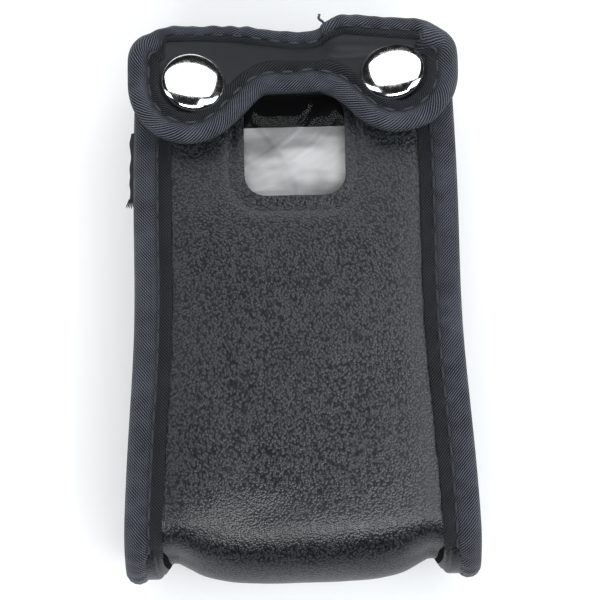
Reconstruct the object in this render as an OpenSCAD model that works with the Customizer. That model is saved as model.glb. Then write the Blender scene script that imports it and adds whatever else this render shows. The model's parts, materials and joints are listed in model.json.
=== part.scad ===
// Leather pouch for a hand-held instrument, lying on its back.
// X runs across the pouch, Y from the rolled bottom to the closure, Z out of the front panel.
// The origin is at the middle of the surface that the pouch lies on.

/* [Pouch] */
// Length from the rolled bottom to the mouth
mouth_y = 123; // [105:1:140]
// Half width of the leather at the bottom, without the tape
half_w_bottom = 40.3; // [36:0.1:46]
// Half width of the leather at the mouth, without the tape
half_w_mouth = 35.6; // [34:0.1:42]
// Outside radius of the rolled bottom, half of the leather's depth
roll_r = 15.5; // [13:0.5:20]

/* [Materials] */
// Thickness of the outer leather
leather_t = 1.4; // [1:0.1:2]
// Thickness of the gusset leather
gusset_t = 1.2; // [0.8:0.1:1.6]
// Thickness of the fabric lining
lining_t = 0.5; // [0.3:0.1:0.8]
// Thickness of the folded binding tape
tape_t = 0.9; // [0.6:0.1:1.2]

/* [Bound seams] */
// Width of the seam flange outside the gusset wall
flange_w = 6.2; // [5:0.1:8]
// Width of the tape on the front face
hem_w = 7.2; // [6.8:0.1:9]
// Distance of the stitches from the leather's edge
stitch_in = 5; // [4:0.1:6]
// Distance from stitch to stitch on the tape
stitch_pitch = 4.4; // [3:0.1:6]
// Length of one stitch on the tape
stitch_len = 3.2; // [2:0.1:4]
// Width of the sewing thread
thread_w = 0.6; // [0.4:0.1:1]

/* [Window] */
// Half width of the window
window_hw = 11.7; // [8:0.1:14]
// Lower edge of the window
window_y0 = 90; // [80:0.1:96]
// Upper edge of the window
window_y1 = 114; // [108:0.1:114.4]
// Corner radius of the window
window_r = 5; // [2:0.1:8]
// Overlap of the clear film behind the leather
film_lap = 4.4; // [3.4:0.1:5.5]
// Distance of the window's stitches from its edge
window_stitch_in = 3; // [2:0.1:3.2]

/* [Closure] */
// Place of the fold between neck and closure along the pouch
fold_y = 126.6; // [125:0.1:140]
// Height of the fold between neck and closure
fold_z = 35.6; // [35:0.1:40]
// Slope of the closure, rising from the fold
closure_lean = 7; // [6:1:9]
// Half of the distance between the two lobes' centres
lobe_x = 23.6; // [22:0.1:24]
// Distance of the lobes' centres from the fold
lobe_drop = 10.8; // [10:0.1:13]
// Radius of a lobe
lobe_r = 12.6; // [11:0.1:13.4]
// How much lower the left lobe sits than the right one
lobe_skew = 1.8; // [0:0.1:2]
// Distance of the hollow's edge between the lobes from the fold
hollow_drop = 13.1; // [12.6:0.1:15]
// Half width of the neck
neck_hw = 32.6; // [28:0.1:33]

/* [Snaps] */
// Radius of a snap's domed cap
cap_r = 7.5; // [6:0.1:8]
// Height of the dome
cap_dome = 2.6; // [2:0.1:3.5]
// Height of the cap's rim
cap_rim = 0.7; // [0.4:0.1:1]
// Radius of the socket and of the stud's base
socket_r = 4.1; // [3.8:0.1:4.3]
// Radius of the stud's knob
knob_r = 2.1; // [1.6:0.1:2.6]
// Lean of a snap towards the neck
snap_tilt_up = 14; // [8:1:15]
// Lean of a snap towards the middle
snap_tilt_in = 10; // [0:1:10]

/* [Hidden] */

$fn = 64;
big = 300;
slack = 1;
roll_c = roll_r + tape_t;
front_z = roll_c + roll_r;
flange_t = leather_t + gusset_t;
hinge_gap = 0.3;
neck_half_t = leather_t / 2;
hinge_z = tape_t + neck_half_t;
back_y = fold_y - neck_half_t - hinge_gap;
closure_top = leather_t / 2;
closure_under = -leather_t / 2 - lining_t;
total_y = fold_y + (closure_top + tape_t) * (cos(closure_lean) + sin(closure_lean));
rim_tape_w = 5.6;
mouth_tape_w = 1.8;
window_top_r = 3;
sheet_t = 0.3;
sheet_hw = 19;
sheet_y = [74.2, 106.8];
stitch_h = 0.3;
neck_top_z = fold_z - 3;
neck_tape_z0 = hinge_z + 1.6;
neck_tape_w = 5;
closure_tape_w = 5.4;
closure_stitch_in = 4.4;
socket_h = 2;
stud_base_h = 0.8;
knob_h = 1.8;
rivet_r = 1.25;
rivet_hole_r = 1.35;
snap_seat = 2.4;
snap_lift = 1.5;
cap_lift = 0.3;

leather_colour = [0.13, 0.13, 0.15];
lining_colour = [0.07, 0.07, 0.08];
tape_colour = [0.16, 0.18, 0.24];
thread_colour = [0.05, 0.05, 0.07];
metal_colour = [0.8, 0.8, 0.82];

// Half width of the leather at a place along the pouch
function edge_x(y) = half_w_bottom + (half_w_mouth - half_w_bottom) * y / mouth_y;
// Angle between the slanting edge and the pouch's centre line
edge_angle = atan((half_w_bottom - half_w_mouth) / mouth_y);

// Moves the pouch so that the origin is under its middle
module placed() translate([0, -total_y / 2, 0]) children();

// Extrudes a side view (Y, Z) across the pouch
module across(width) rotate([90, 0, 90]) linear_extrude(height = width, center = true) children();

// Side view of the rolled strip, filled, grown by off, with its front and back legs' ends
module side_view(off, y_front, y_back) {
    translate([roll_c, roll_c]) circle(r = roll_r + off);
    translate([roll_c, roll_c]) square([y_front - roll_c, roll_r + off]);
    translate([roll_c, roll_c - roll_r - off]) square([y_back - roll_c, roll_r + off]);
}

// One layer of the rolled strip, between two distances from the leather's outer face
module layer(outer, inner, y_front, y_back, width = big) {
    across(width) difference() {
        side_view(outer, y_front, y_back);
        side_view(inner, y_front + slack, y_back + slack);
    }
}

// Plan region on the right, between two distances inwards from the slanting edge
module edge_band(inner, outer) {
    y0 = -slack;
    y1 = fold_y;
    translate([0, 0, -big / 2]) linear_extrude(height = big) polygon([
        [edge_x(y0) - inner, y0], [edge_x(y0) - outer, y0],
        [edge_x(y1) - outer, y1], [edge_x(y1) - inner, y1]
    ]);
}

// Plan region between the two slanting edges, drawn in by a distance
module plan(inset) {
    y0 = -slack;
    y1 = fold_y;
    translate([0, 0, -big / 2]) linear_extrude(height = big) polygon([
        [edge_x(y0) - inset, y0], [edge_x(y1) - inset, y1],
        [inset - edge_x(y1), y1], [inset - edge_x(y0), y0]
    ]);
}

module on_side(side) mirror([side < 0 ? 1 : 0, 0, 0]) children();

module window_outline(grow) {
    hw = window_hw + grow;
    y0 = window_y0 - grow;
    y1 = window_y1 + grow;
    r0 = window_r + grow;
    r1 = window_top_r;
    for (s = [-1, 1]) {
        translate([s * (hw - r0), y0 + r0]) circle(r = r0);
        translate([s * (hw - r1), y1 - r1]) circle(r = r1);
    }
    translate([-hw, y0 + r0]) square([2 * hw, y1 - r1 - y0 - r0]);
    translate([r0 - hw, y0]) square([2 * (hw - r0), r0 + slack]);
    translate([r1 - hw, y1 - r1 - slack]) square([2 * (hw - r1), r1 + slack]);
}

module at_front(z) translate([0, 0, z]) linear_extrude(height = 20) children();

// Puts a snap's axis in place: local Z points out of the cap, local 0 is the knob's foot
module at_snap(side) {
    translate([side * lobe_x, fold_y + lobe_y(side), front_z + snap_lift])
        rotate([-snap_tilt_up, -side * snap_tilt_in, 0]) children();
}

module snap_holes(r) {
    for (side = [-1, 1]) at_snap(side) cylinder(r = r, h = 30, center = true);
}

module outer_strip() {
    color(leather_colour) placed() difference() {
        intersection() {
            layer(0, -leather_t, mouth_y, back_y);
            plan(0);
        }
        at_front(roll_c) window_outline(0);
        snap_holes(rivet_hole_r);
        back_tab_corners();
    }
}

// The back leather is cut in to the neck's width past the bound edges
module back_tab_corners() {
    for (s = [-1, 1]) translate([s * (neck_hw + 10), mouth_y + 10, 0]) cube([20, 20, 10], center = true);
}

module strip_lining() {
    color(lining_colour) placed() difference() {
        intersection() {
            layer(-leather_t, -leather_t - lining_t, mouth_y, mouth_y);
            plan(flange_w + gusset_t);
        }
        at_front(roll_c) window_outline(film_lap);
        snap_holes(rivet_hole_r);
    }
}

module gusset(side) {
    color(leather_colour) placed() on_side(side) {
        intersection() {
            across(big) side_view(-leather_t, mouth_y, mouth_y);
            edge_band(flange_w + gusset_t, flange_w);
        }
        intersection() {
            layer(-leather_t, -flange_t, mouth_y, mouth_y);
            edge_band(flange_w + gusset_t, 0);
        }
    }
}

module gusset_lining(side) {
    color(lining_colour) placed() on_side(side) intersection() {
        across(big) side_view(-leather_t - lining_t, mouth_y, mouth_y);
        edge_band(flange_w + gusset_t + lining_t, flange_w + gusset_t);
    }
}

module edge_binding(side) {
    color(tape_colour) placed() on_side(side) {
        intersection() {
            layer(tape_t, 0, mouth_y, mouth_y);
            edge_band(hem_w, -tape_t);
        }
        intersection() {
            layer(0, -flange_t, mouth_y, mouth_y);
            edge_band(0, -tape_t);
        }
        intersection() {
            layer(-flange_t, -flange_t - tape_t, mouth_y, mouth_y);
            edge_band(flange_w, -tape_t);
        }
    }
}

// One stitch that runs along Y, standing on z = 0
module stitch() translate([-thread_w / 2, 0, 0]) cube([thread_w, stitch_len, stitch_h]);

module edge_stitches(side) {
    y0 = roll_c;
    count = floor((mouth_y - y0) / stitch_pitch);
    color(thread_colour) placed() on_side(side) for (i = [0 : count - 1]) {
        y = y0 + i * stitch_pitch;
        translate([edge_x(y) - stitch_in, y, front_z + tape_t]) rotate([0, 0, edge_angle]) stitch();
    }
}

// Tape folded over the front panel's edge at the mouth, between the two edge bindings
module mouth_binding() {
    color(tape_colour) placed() intersection() {
        difference() {
            translate([-big / 2, mouth_y - mouth_tape_w, front_z - leather_t - lining_t - tape_t])
                cube([big, mouth_tape_w + tape_t, leather_t + lining_t + 2 * tape_t]);
            translate([-big / 2, mouth_y - mouth_tape_w - slack, front_z - leather_t - lining_t])
                cube([big, mouth_tape_w + slack, leather_t + lining_t]);
        }
        plan(flange_w + gusset_t + lining_t + tape_t);
    }
}

module mouth_stitches() {
    half = edge_x(mouth_y) - hem_w - stitch_len;
    count = floor(2 * half / stitch_pitch);
    color(thread_colour) placed() for (i = [0 : count]) {
        translate([-half + i * stitch_pitch, mouth_y - mouth_tape_w + thread_w, front_z + tape_t])
            rotate([0, 0, -90]) stitch();
    }
}

// Tape folded over a gusset's edge at the mouth
module gusset_rim(side) {
    z0 = tape_t + flange_t + tape_t;
    z1 = front_z - flange_t - tape_t;
    wall_in = flange_w + gusset_t + lining_t;
    color(tape_colour) placed() on_side(side) difference() {
        intersection() {
            translate([0, mouth_y - rim_tape_w, z0]) cube([big, rim_tape_w + tape_t, z1 - z0]);
            edge_band(wall_in + tape_t, flange_w - tape_t);
        }
        intersection() {
            translate([0, 0, z0 - slack]) cube([big, mouth_y, z1 - z0 + 2 * slack]);
            edge_band(wall_in, flange_w);
        }
    }
}

module window_film() {
    color([0.85, 0.88, 0.92, 0.35]) placed() intersection() {
        layer(-leather_t, -leather_t - lining_t, mouth_y, mouth_y);
        at_front(roll_c) window_outline(film_lap);
        translate([-big / 2, 0, 0]) cube([big, mouth_y, big]);
    }
}

// Stitches in a U round the sides and the lower edge of the window
module window_stitches() {
    hw = window_hw + window_stitch_in;
    pitch = stitch_pitch / 2;
    length = stitch_len / 2;
    r = window_r + window_stitch_in;
    y0 = window_y0 - window_stitch_in;
    side_count = floor((window_y1 - y0 - r) / pitch);
    foot_count = floor(2 * (hw - r) / pitch);
    turn_count = floor(r * PI / 2 / pitch);
    color(thread_colour) placed() translate([0, 0, front_z]) for (s = [-1, 1]) {
        for (i = [0 : side_count - 1])
            translate([s * hw - thread_w / 2, y0 + r + i * pitch, 0]) cube([thread_w, length, stitch_h]);
        for (i = [0.5 : turn_count])
            translate([s * (hw - r), y0 + r, 0]) rotate([0, 0, -90 + s * 90 * i / turn_count])
                translate([r - thread_w / 2, -length / 2, 0]) cube([thread_w, length, stitch_h]);
        if (s > 0) for (i = [0 : foot_count])
            translate([r - hw + i * pitch, y0 - thread_w / 2, 0]) cube([length, thread_w, stitch_h]);
    }
}

module insert_sheet() {
    color("white") placed()
        translate([-sheet_hw, sheet_y[0], front_z - leather_t - lining_t - sheet_t])
            cube([2 * sheet_hw, sheet_y[1] - sheet_y[0], sheet_t]);
}

module snap_studs() {
    color(metal_colour) placed() for (side = [-1, 1]) at_snap(side) difference() {
        union() {
            translate([0, 0, -stud_base_h]) cylinder(r = socket_r, h = stud_base_h);
            cylinder(r = knob_r, h = knob_h);
        }
        translate([0, 0, -slack - stud_base_h]) cylinder(r = rivet_r, h = 10);
    }
}

module snap_rivets() {
    head_h = 0.6;
    head_z = -snap_lift - leather_t - lining_t - head_h - 0.3;
    color(metal_colour) placed() for (side = [-1, 1]) at_snap(side) {
        translate([0, 0, head_z]) cylinder(r = socket_r - 1, h = head_h);
        translate([0, 0, head_z]) cylinder(r = rivet_r, h = knob_h - head_z);
    }
}

// Neck: leather that stands across the mouth, from the back panel to the closure
module neck_strip() {
    color(leather_colour) placed() {
        translate([-neck_hw, fold_y - neck_half_t, hinge_z])
            cube([2 * neck_hw, leather_t, neck_top_z - hinge_z]);
        translate([-neck_hw, fold_y, hinge_z]) rotate([0, 90, 0]) cylinder(r = neck_half_t, h = 2 * neck_hw);
    }
}

module neck_lining() {
    color(lining_colour) placed() translate([-neck_hw, fold_y - neck_half_t - lining_t, neck_tape_z0])
        cube([2 * neck_hw, lining_t, neck_top_z - neck_tape_z0]);
}

module neck_binding(side) {
    stack = leather_t + lining_t;
    height = neck_top_z - neck_tape_z0;
    color(tape_colour) placed() on_side(side)
        translate([neck_hw - neck_tape_w, fold_y - neck_half_t - lining_t - tape_t, neck_tape_z0])
            difference() {
                cube([neck_tape_w + tape_t, stack + 2 * tape_t, height]);
                translate([-slack, tape_t, -slack]) cube([neck_tape_w + slack, stack, height + 2 * slack]);
            }
}

// Closure's own frame: origin on the fold, local Z out of the leather, local Y towards the neck
module closure_frame() translate([0, fold_y, fold_z]) rotate([-closure_lean, 0, 0]) children();

function lobe_y(side) = -lobe_drop + side * lobe_skew / 2;

// Where a lobe's flank leaves its circle, at 45 degrees, and where it meets the hollow's straight edge
function flank_foot(side, r) = [side * (lobe_x - r * sin(45)), lobe_y(side) - r * sin(45)];
function flank_head(side, r, y) = [side * (lobe_x + lobe_y(side) - r * sqrt(2) - y), y];

// Outline of the closure, grown by a distance: a strap with a round lobe at each end
module closure_outline(grow) {
    r = lobe_r + grow;
    hw = lobe_x + lobe_r - 1 + grow;
    edge_y = -hollow_drop - grow;
    difference() {
        union() {
            for (s = [-1, 1]) translate([s * lobe_x, lobe_y(s)]) circle(r = r);
            translate([-hw, -lobe_drop]) square([2 * hw, lobe_drop + neck_half_t + grow]);
            polygon([
                [-lobe_x, 0], flank_foot(-1, r), flank_head(-1, r, edge_y),
                flank_head(1, r, edge_y), flank_foot(1, r), [lobe_x, 0]
            ]);
        }
        translate([-big / 2, neck_half_t + grow]) square([big, 40]);
    }
}

module closure_slab(grow, z0, z1) {
    closure_frame() translate([0, 0, z0]) linear_extrude(height = z1 - z0) closure_outline(grow);
}

module closure_leather() {
    color(leather_colour) placed() difference() {
        closure_slab(0, -leather_t / 2, closure_top);
        snap_holes(rivet_hole_r);
    }
}

module closure_lining() {
    color(lining_colour) placed() difference() {
        closure_slab(0, closure_under, -leather_t / 2);
        snap_holes(rivet_hole_r);
    }
}

module closure_binding() {
    color(tape_colour) placed() difference() {
        closure_slab(tape_t, closure_under - tape_t, closure_top + tape_t);
        closure_slab(0, closure_under, closure_top);
        closure_slab(-closure_tape_w, closure_under - 2 * tape_t, closure_top + 2 * tape_t);
    }
}

// Stitches round each lobe, over the hollow and along the fold
module closure_stitches() {
    r = lobe_r - closure_stitch_in;
    step = 360 * stitch_pitch / (2 * PI * r);
    color(thread_colour) placed() closure_frame() translate([0, 0, closure_top + tape_t]) {
        for (s = [-1, 1], i = [0 : 4])
            translate([s * lobe_x, lobe_y(s)]) mirror([s < 0 ? 1 : 0, 0, 0])
                rotate([0, 0, -100 + i * step]) translate([r, -stitch_len / 2, 0]) stitch();
        for (i = [-1 : 1])
            translate([i * stitch_pitch + stitch_len / 2, -hollow_drop + closure_stitch_in, 0])
                rotate([0, 0, 90]) stitch();
        for (i = [-6 : 6])
            translate([i * stitch_pitch + stitch_len / 2, -closure_stitch_in + 1.4, 0])
                rotate([0, 0, 90]) stitch();
    }
}

module snap_sockets() {
    gap = 0.3;
    color(metal_colour) placed() for (side = [-1, 1]) at_snap(side) difference() {
        translate([0, 0, snap_seat - socket_h]) cylinder(r = socket_r, h = socket_h);
        translate([0, 0, -slack]) cylinder(r = knob_r + gap, h = knob_h + gap + slack);
    }
}

// Domed cap with its shank through the leather
module snap_caps() {
    seat = snap_seat + leather_t + lining_t + cap_lift;
    dome_r = (cap_r * cap_r + cap_dome * cap_dome) / (2 * cap_dome);
    color(metal_colour) placed() for (side = [-1, 1]) at_snap(side) translate([0, 0, seat]) {
        cylinder(r = cap_r, h = cap_rim);
        translate([0, 0, snap_seat - seat]) cylinder(r = rivet_r, h = seat - snap_seat);
        translate([0, 0, cap_rim]) intersection() {
            translate([0, 0, cap_dome - dome_r]) sphere(r = dome_r);
            cylinder(r = cap_r, h = cap_dome);
        }
    }
}

outer_strip();
strip_lining();
gusset(-1);  // gusset_left
gusset(1);  // gusset_right
gusset_lining(-1);  // gusset_lining_left
gusset_lining(1);  // gusset_lining_right
edge_binding(-1);  // edge_binding_left
edge_binding(1);  // edge_binding_right
edge_stitches(-1);  // edge_stitches_left
edge_stitches(1);  // edge_stitches_right
mouth_binding();
mouth_stitches();
gusset_rim(-1);  // gusset_rim_left
gusset_rim(1);  // gusset_rim_right
window_film();
window_stitches();
insert_sheet();
snap_studs();
snap_rivets();
neck_strip();
neck_lining();
neck_binding(-1);  // neck_binding_left
neck_binding(1);  // neck_binding_right
closure_leather();
closure_lining();
closure_binding();
closure_stitches();
snap_sockets();
snap_caps();
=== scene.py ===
"""Looks of the leather instrument pouch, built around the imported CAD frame.

All shapes are worked out in millimetres in pouch coordinates: x across, y from the rolled bottom
towards the closure, z up from the surface that the pouch lies on. add_mesh() turns them into metres.
"""

import json
import math

import bmesh
import bpy
import numpy as np
from mathutils import Matrix, Vector, noise
from mathutils.geometry import delaunay_2d_cdt

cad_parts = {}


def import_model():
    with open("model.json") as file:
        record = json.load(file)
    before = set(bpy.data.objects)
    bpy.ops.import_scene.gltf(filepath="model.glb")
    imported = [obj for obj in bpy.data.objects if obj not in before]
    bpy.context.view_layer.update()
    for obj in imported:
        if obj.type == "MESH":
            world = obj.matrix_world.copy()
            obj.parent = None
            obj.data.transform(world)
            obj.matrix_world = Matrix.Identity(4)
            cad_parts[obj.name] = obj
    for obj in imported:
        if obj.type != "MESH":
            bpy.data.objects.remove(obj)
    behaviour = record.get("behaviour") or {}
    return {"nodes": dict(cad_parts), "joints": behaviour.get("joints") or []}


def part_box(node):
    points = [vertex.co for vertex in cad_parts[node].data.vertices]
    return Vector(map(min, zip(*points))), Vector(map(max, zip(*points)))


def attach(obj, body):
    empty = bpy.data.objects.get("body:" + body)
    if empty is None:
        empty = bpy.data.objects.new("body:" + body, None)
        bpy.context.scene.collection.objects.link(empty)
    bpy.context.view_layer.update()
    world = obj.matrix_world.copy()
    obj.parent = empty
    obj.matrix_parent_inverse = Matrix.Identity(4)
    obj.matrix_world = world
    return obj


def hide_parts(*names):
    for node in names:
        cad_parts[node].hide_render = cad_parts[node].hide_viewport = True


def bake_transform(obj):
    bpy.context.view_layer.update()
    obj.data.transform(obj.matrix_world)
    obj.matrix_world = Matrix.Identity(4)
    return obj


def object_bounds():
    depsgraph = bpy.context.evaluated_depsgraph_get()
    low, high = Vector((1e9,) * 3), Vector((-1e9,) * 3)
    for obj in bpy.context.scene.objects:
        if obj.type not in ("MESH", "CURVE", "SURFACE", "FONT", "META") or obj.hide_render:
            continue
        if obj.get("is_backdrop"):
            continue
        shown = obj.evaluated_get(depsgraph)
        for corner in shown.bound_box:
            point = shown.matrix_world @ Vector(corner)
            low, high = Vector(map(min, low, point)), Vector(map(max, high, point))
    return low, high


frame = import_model()
cad_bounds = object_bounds()

# ------------ sizes taken from the frame

MM = 0.001
BOTTOM_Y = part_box("edge_binding_left")[0].y
SIDES = ((-1, "left"), (1, "right"))
UP = np.array([0.0, 0.0, 1.0])


def cad_points(node):
    """A CAD node's vertices in pouch coordinates."""
    points = np.array([v.co for v in frame["nodes"][node].data.vertices]) / MM
    return points - [0, BOTTOM_Y / MM, 0]


def joint_place(name):
    """A joint's (y, z) in pouch coordinates."""
    joint = next(j for j in frame["joints"] if j["name"] == name)
    return joint["pos_m"][1] / MM - BOTTOM_Y / MM, joint["pos_m"][2] / MM


strip_points = cad_points("outer_strip")
tape_points = cad_points("edge_binding_right")
film_points = cad_points("window_film")
sheet_points = cad_points("insert_sheet")
neck_points = cad_points("neck_strip")

# Outer shape. The roll at the bottom turns about (ROLL_C, ROLL_C) in (y, z)
FRONT_Z = strip_points[:, 2].max()
DEPTH = tape_points[:, 2].max()
TAPE_T = DEPTH - FRONT_Z
ROLL_C = DEPTH / 2
ROLL_R = ROLL_C - TAPE_T
MOUTH_Y = strip_points[strip_points[:, 2] > ROLL_C][:, 1].max()
BACK_Y = strip_points[:, 1].max()
HALF_BOTTOM = strip_points[:, 0].max()
HALF_MOUTH = strip_points[strip_points[:, 1] > MOUTH_Y - 1][:, 0].max()
NECK_HALF = neck_points[:, 0].max()
NECK_Y, NECK_Z = joint_place("neck_fold")
FOLD_Y, FOLD_Z = joint_place("closure_fold")

# Thicknesses. A bound seam holds the strip and the gusset's flange, with a gap on each side of it
LEATHER_T = 1.4
LINING_T = 0.5
GUSSET_T = 1.0
SEAM_GAP = 0.1
SEAM_T = LEATHER_T + GUSSET_T + 2 * SEAM_GAP
FILM_T = 0.25
SHEET_T = 0.25

# Bound seams: distances inwards from the tape's outer edge
HEM_IN = 8.6
STITCH_IN = 5.5
INNER_LEG = 6.4
STITCH_PITCH = 4.4
STITCH_LEN = 3.3
STITCH_SPAN = np.linspace(-0.5, 0.5, 7) * STITCH_LEN
THREAD_R = 0.32

# Window: the film laps behind the leather by FILM_LAP
FILM_LAP = 4.4
WINDOW_HALF = film_points[:, 0].max() - FILM_LAP
WINDOW_Y0 = film_points[:, 1].min() + FILM_LAP
WINDOW_Y1 = film_points[:, 1].max() - FILM_LAP
WINDOW_R = 5.0
WINDOW_STITCH_OUT = 3.1
WINDOW_STITCH_PITCH = 3.0

# Spacing of the points of a line that stitches are laid along
LINE_STEP = 0.1


def unit(vectors):
    """Vectors along the last axis, each scaled to length 1."""
    return vectors / np.linalg.norm(vectors, axis=-1, keepdims=True)


def snap_frame(side):
    """(middle of the stud, unit axis towards the cap) of one snap, from the CAD stud and cap."""
    def middle(node):
        points = cad_points(node)
        points = points[points[:, 0] * side > 0]
        return (points.min(axis=0) + points.max(axis=0)) / 2

    stud = middle("snap_studs")
    return stud, unit(middle("snap_caps") - stud)


SNAPS = {side: snap_frame(side) for side, _ in SIDES}

# ------------ small maths helpers


def smooth_step(x, low, high):
    """0 up to low, 1 from high on, and smooth between them."""
    t = np.clip((np.asarray(x, float) - low) / (high - low), 0, 1)
    return t * t * (3 - 2 * t)


def bell(x, centre, width):
    """A smooth bump of height 1."""
    return np.exp(-(((np.asarray(x, float) - centre) / width) ** 2))


def curve_through(x, anchors):
    """A smooth curve through (x, y) anchors, level beyond the first and the last."""
    xs, ys = np.array(anchors, float).T
    x = np.clip(np.asarray(x, float), xs[0], xs[-1])
    slopes = np.gradient(ys, xs)
    i = np.clip(np.searchsorted(xs, x, side="right") - 1, 0, len(xs) - 2)
    h = xs[i + 1] - xs[i]
    t = (x - xs[i]) / h
    return ((1 + 2 * t) * (1 - t) ** 2 * ys[i] + t * (1 - t) ** 2 * h * slopes[i]
            + t * t * (3 - 2 * t) * ys[i + 1] + t * t * (t - 1) * h * slopes[i + 1])


def ripple(points, wavelength, seed):
    """Smooth noise from -1 to 1 at points (any shape, last axis x, y, z)."""
    flat = np.asarray(points, float).reshape(-1, 3) / wavelength + seed
    values = [noise.noise(Vector(p)) for p in flat]
    return np.array(values).reshape(np.asarray(points).shape[:-1])


def flat_ripple(x, y, wavelength, seed):
    """The same noise over places in a plane."""
    x, y = np.broadcast_arrays(np.asarray(x, float), y)
    return ripple(np.stack([x, y, 0 * x], axis=-1), wavelength, seed)


def resample(points, step, closed=False):
    """Points at even steps along a polyline."""
    points = np.asarray(points, float)
    if closed:
        points = np.vstack([points, points[:1]])
    lengths = np.r_[0, np.cumsum(np.linalg.norm(np.diff(points, axis=0), axis=1))]
    count = max(2, int(round(lengths[-1] / step)))
    at = np.linspace(0, lengths[-1], count + 1)
    if closed:
        at = at[:-1]
    return np.stack([np.interp(at, lengths, c) for c in points.T], axis=1)


def arc(centre, radius, start, end, count=24):
    """Points on an arc between two angles in degrees."""
    angles = np.radians(np.linspace(start, end, count))
    return np.stack([centre[0] + radius * np.cos(angles), centre[1] + radius * np.sin(angles)], axis=1)


# ------------ mesh helpers

# Edges that bend more than this many degrees are left sharp
LEATHER_SHARP = 60
TAPE_SHARP = 75
METAL_SHARP = 40
LATHE_SIDES = 72


def add_mesh(name, points, faces, material, uvs=None, sharp=LEATHER_SHARP):
    """A smooth-shaded mesh object from points in pouch millimetres."""
    world = (np.asarray(points, float) + [0, BOTTOM_Y / MM, 0]) * MM
    mesh = bpy.data.meshes.new(name)
    mesh.from_pydata([tuple(p) for p in world], [], [tuple(f) for f in faces])
    if uvs is not None:
        layer = mesh.uv_layers.new(name="weave")
        layer.data.foreach_set("uv", np.asarray(uvs, np.float32).ravel())
    tidy = bmesh.new()
    tidy.from_mesh(mesh)
    bmesh.ops.recalc_face_normals(tidy, faces=tidy.faces)
    for face in tidy.faces:
        face.smooth = True
    for edge in tidy.edges:
        edge.smooth = edge.calc_face_angle(0) < math.radians(sharp)
    tidy.to_mesh(mesh)
    tidy.free()
    piece = bpy.data.objects.new(name, mesh)
    bpy.context.scene.collection.objects.link(piece)
    mesh.materials.append(material)
    return piece


def closed_faces(top_faces, count):
    """A top's faces, a bottom's on points numbered count further on, and walls round every edge."""
    faces, edges = [], {}
    for face in top_faces:
        faces.append(face)
        faces.append(tuple(i + count for i in reversed(face)))
        for a, b in zip(face, face[1:] + face[:1]):
            key = (min(a, b), max(a, b))
            edges[key] = None if key in edges else (a, b)
    faces += [(b, a, a + count, b + count) for a, b in filter(None, edges.values())]
    return faces


def slab(name, top, bottom, material, keep=None):
    """A closed slab between two grids of points. keep says which cells of the grid are there."""
    rows, columns = top.shape[:2]
    if keep is None:
        keep = np.ones((rows - 1, columns - 1), bool)
    count = rows * columns
    index = np.arange(count).reshape(rows, columns)
    quads = [(index[r, c], index[r, c + 1], index[r + 1, c + 1], index[r + 1, c])
             for r, c in zip(*np.nonzero(keep))]
    faces = closed_faces(quads, count)
    points = np.vstack([top.reshape(-1, 3), bottom.reshape(-1, 3)])
    used = np.unique([i for face in faces for i in face])
    order = np.full(2 * count, -1)
    order[used] = np.arange(len(used))
    return add_mesh(name, points[used], [[order[i] for i in face] for face in faces], material)


def tube_faces(count, sides, base=0, closed=False):
    """Faces of a tube through count rings of points, with flat ends unless it is closed."""
    faces = []
    for k in range(count if closed else count - 1):
        here, there = base + k * sides, base + (k + 1) % count * sides
        for i in range(sides):
            j = (i + 1) % sides
            faces.append((here + i, here + j, there + j, there + i))
    if not closed:
        faces += [[base + k * sides + i for i in range(sides)] for k in (0, count - 1)]
    return faces


def loft(name, rings, material, sharp, closed=False):
    """A tube through rings of points, each a closed loop, with uvs in millimetres of cloth."""
    rings = np.asarray(rings, float)
    count, sides = rings.shape[:2]
    around = np.linalg.norm(np.roll(rings, -1, axis=1) - rings, axis=2).mean(axis=0)
    u = np.r_[0, np.cumsum(around)]
    steps = np.linalg.norm(np.roll(rings, -1, axis=0) - rings, axis=2).mean(axis=1)
    v = np.r_[0, np.cumsum(steps)]
    uvs = []
    for k in range(count if closed else count - 1):
        for i in range(sides):
            uvs += [(u[i], v[k]), (u[i + 1], v[k]), (u[i + 1], v[k + 1]), (u[i], v[k + 1])]
    if not closed:
        uvs += [(u[i], v[k]) for k in (0, count - 1) for i in range(sides)]
    faces = tube_faces(count, sides, closed=closed)
    return add_mesh(name, rings.reshape(-1, 3), faces, material, uvs, sharp)


def join(name, pieces):
    """Joins mesh objects into the first one."""
    with bpy.context.temp_override(active_object=pieces[0], object=pieces[0], selected_objects=pieces,
                                   selected_editable_objects=pieces):
        bpy.ops.object.join()
    pieces[0].name = name
    return pieces[0]


def lathe(name, profile, foot, axis, material):
    """Turns an outline of (radius, height) points about an axis through foot."""
    side = unit(np.cross(axis, [0, 1, 0]))
    up = np.cross(axis, side)
    angles = np.linspace(0, 2 * math.pi, LATHE_SIDES, endpoint=False)[:, None]
    circle = np.cos(angles) * side + np.sin(angles) * up
    rings = [foot + axis * height + radius * circle for radius, height in profile]
    return loft(name, rings, material, METAL_SHARP)


# ------------ leather bent along a path


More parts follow.
